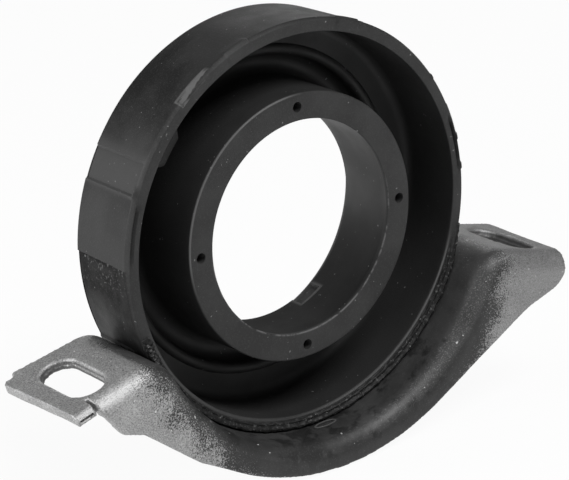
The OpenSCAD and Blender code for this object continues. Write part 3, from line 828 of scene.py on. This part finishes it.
# Painted highlight on the bead's foremost crests
skin = blend(tree, ramp(tree, y, -1.8, -2.1), skin, grey(0.085))
dust = ramp(tree, speckle(tree, place, 900.0, 1.0), 0.755, 0.79, 0.0, 0.55)
skin = blend(tree, dust, skin, grey(0.32))
tree.links.new(skin, shader.inputs["Base Color"])
matt_seat = overlap(tree, in_seat, ramp(tree, z, 0.0, -20.0, 0.0, 0.25))
matt_foot = overlap(tree, foot, ramp(tree, side_turn, -0.3, -0.1, 0.0, 0.3))
matt = sum_up(tree, "MAXIMUM", matt_seat, matt_foot)
tree.links.new(sum_up(tree, "ADD", ramp(tree, bloom, 0.3, 0.7, 0.5, 0.68), matt), shader.inputs["Roughness"])
shader.inputs["Specular IOR Level"].default_value = 0.35
bumps = node(tree, "Bump", {"Strength": 0.45, "Distance": 0.1 * MM, "Height": fine})
tree.links.new(bumps, shader.inputs["Normal"])
dress(ring, rubber)
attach(ring, "root")
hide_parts("rubber_ring")


# Squeezed-out rubber: where the mould pressed on the saddle, a rough double bead stands along the rim's
# foot. It is the same rubber as the ring and was never trimmed.
BEAD = ((57.2, 0.3), (57.2, -0.9), (56.8, -1.5), (56.2, -1.6), (55.8, -1.1), (55.5, -0.9), (55, -1),
        (54.6, -0.6), (54.5, 0.2))
BEAD_FROM = math.radians(13)
BEAD_TO = math.radians(162)
bead = draw("flash_bead", [at(r * math.cos(BEAD_FROM), y, -r * math.sin(BEAD_FROM)) for r, y in BEAD])
pick(lambda x, y, z: y > 0)
bpy.ops.mesh.edge_face_add()
bpy.ops.mesh.select_all(action="SELECT")
bpy.ops.mesh.subdivide(number_cuts=2)
bpy.ops.mesh.select_all(action="SELECT")
bpy.ops.mesh.edge_face_add()
bpy.ops.mesh.spin(steps=330, angle=BEAD_TO - BEAD_FROM, center=(0, 0, 0), axis=(0, -1, 0))
bpy.ops.mesh.select_all(action="SELECT")
bpy.ops.mesh.normals_make_consistent(inside=False)
# It runs out towards its right end, and at its left end the mould's clamp left a strip of teeth
for reach in range(25, 13, -2):
    pick(lambda x, y, z: side_angle(x, z) > -reach and x > 0)
    bpy.ops.transform.translate(value=(0, 0.2 * MM, 0))
for tooth in (154.5, 156, 157.5, 159, 160.5):
    pick(lambda x, y, z: abs(around(x, -z) - tooth) < 0.4 and y < -0.3)
    bpy.ops.transform.translate(value=(0, -0.7 * MM, 0))
leave()
lumps = bpy.data.textures.new("flash_lumps", "CLOUDS")
lumps.noise_scale = 0.0018
lumps.noise_depth = 2
finish_with(bead, "DISPLACE", texture=lumps, strength=0.9 * MM, mid_level=0.62)
# More of it: the oval gate mark on the saddle and the raised edge in front of the seat's notch
RIDGE_UP = 0.1
RIDGE_T = 0.32
bpy.ops.object.select_all(action="DESELECT")
bpy.ops.mesh.primitive_torus_add(major_radius=2 * MM, minor_radius=0.28 * MM, major_segments=64,
                                 minor_segments=10)
gate = bpy.context.object
gate.scale = (1.7, 0.62, 1)
put(gate, at(2.3, -3.3, -57.1), math.radians(-2.3))
half_w = NOTCH_W / 2 / SEAT_R
ridge_turn = NOTCH_TURN - half_w
ridge_section = [(SEAT_R + RIDGE_UP + RIDGE_T * a, NOTCH_Y + RIDGE_T * b) for a, b in arc(0, 0, 1, 0, 315, 7)]
ridge = draw("notch_edge", [at(r * math.cos(ridge_turn), y, -r * math.sin(ridge_turn))
                            for r, y in ridge_section])
bpy.ops.mesh.select_all(action="SELECT")
bpy.ops.mesh.edge_face_add()
bpy.ops.mesh.spin(steps=24, angle=2 * half_w, center=(0, 0, 0), axis=(0, -1, 0))
bpy.ops.mesh.select_all(action="SELECT")
bpy.ops.mesh.normals_make_consistent(inside=False)
leave()
bead = joined(bead, gate, ridge)
bpy.ops.object.shade_smooth_by_angle(angle=math.radians(50))
dress(bead, rubber)
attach(bead, "root")


# Studio: white paper under the skirt and all round, with an even, dim glow. One soft lamp stands high in
# front, one at the left, and a small one behind picks out the ring's crest.
bpy.ops.object.select_all(action="DESELECT")
bpy.ops.mesh.primitive_plane_add(size=40, location=(0, 0, cad_box[0][2] - 0.2 * MM))
floor = bpy.context.object
floor.name = "floor"
settle(floor)
paper = bpy.data.materials.new("white_paper")
paper.use_nodes = True
tree = paper.node_tree
tree.nodes.clear()
# What the camera and reflections see of the paper is nearly all white; the rest keeps the shadow
PAPER_WHITE = 0.93
path = node(tree, "LightPath", {}).node.outputs
seen = sum_up(tree, "ADD", path["Is Camera Ray"], path["Is Glossy Ray"])
seen = sum_up(tree, "MINIMUM", sum_up(tree, "ADD", seen, path["Is Transmission Ray"]), 1.0)
matt_paper = node(tree, "BsdfDiffuse", {"Color": grey(0.9)})
white = node(tree, "Emission", {"Color": grey(1)})
shown = node(tree, "MixShader", {0: sum_up(tree, "MULTIPLY", seen, PAPER_WHITE), 1: matt_paper, 2: white})
result = tree.nodes.new("ShaderNodeOutputMaterial")
tree.links.new(shown, result.inputs[0])
floor.data.materials.append(paper)

world = bpy.data.worlds.new("studio")
bpy.context.scene.world = world
world.use_nodes = True
tree = world.node_tree
tree.nodes.clear()
glow = node(tree, "Background", {"Color": grey(1), "Strength": 0.18})
result = tree.nodes.new("ShaderNodeOutputWorld")
tree.links.new(glow, result.inputs[0])


def lamp(name, place, target, size, watts):
    """Adds a square soft lamp at a place, turned to a target."""
    light = bpy.data.lights.new(name, "AREA")
    light.size = size
    light.energy = watts
    holder = bpy.data.objects.new(name, light)
    holder.location = place
    holder.rotation_euler = (Vector(target) - Vector(place)).to_track_quat("-Z", "Y").to_euler()
    bpy.context.scene.collection.objects.link(holder)


lamp("top_box", (0.15, -0.6, 0.95), (0, 0, -0.02), 0.5, 9)
lamp("side_box", (-0.95, 0.2, 0.3), (0, 0, 0), 0.6, 7)
lamp("crest_box", (0.75, 0.95, 0.5), (0, 0, 0.04), 0.3, 1.3)

# The camera looks down at the open front from the left, through a long lens
CAMERA_AT = (-0.4520, -0.6019, 0.2685)
CAMERA_TURN = (69.911, 2.489, -37.930)
lens = bpy.data.cameras.new("camera")
lens.sensor_width = 36
lens.lens = 186.6
lens.clip_start = 0.01
camera = bpy.data.objects.new("camera", lens)
camera.location = CAMERA_AT
camera.rotation_euler = [math.radians(angle) for angle in CAMERA_TURN]
bpy.context.scene.collection.objects.link(camera)
bpy.context.scene.camera = camera
bpy.context.scene.view_settings.view_transform = "Standard"
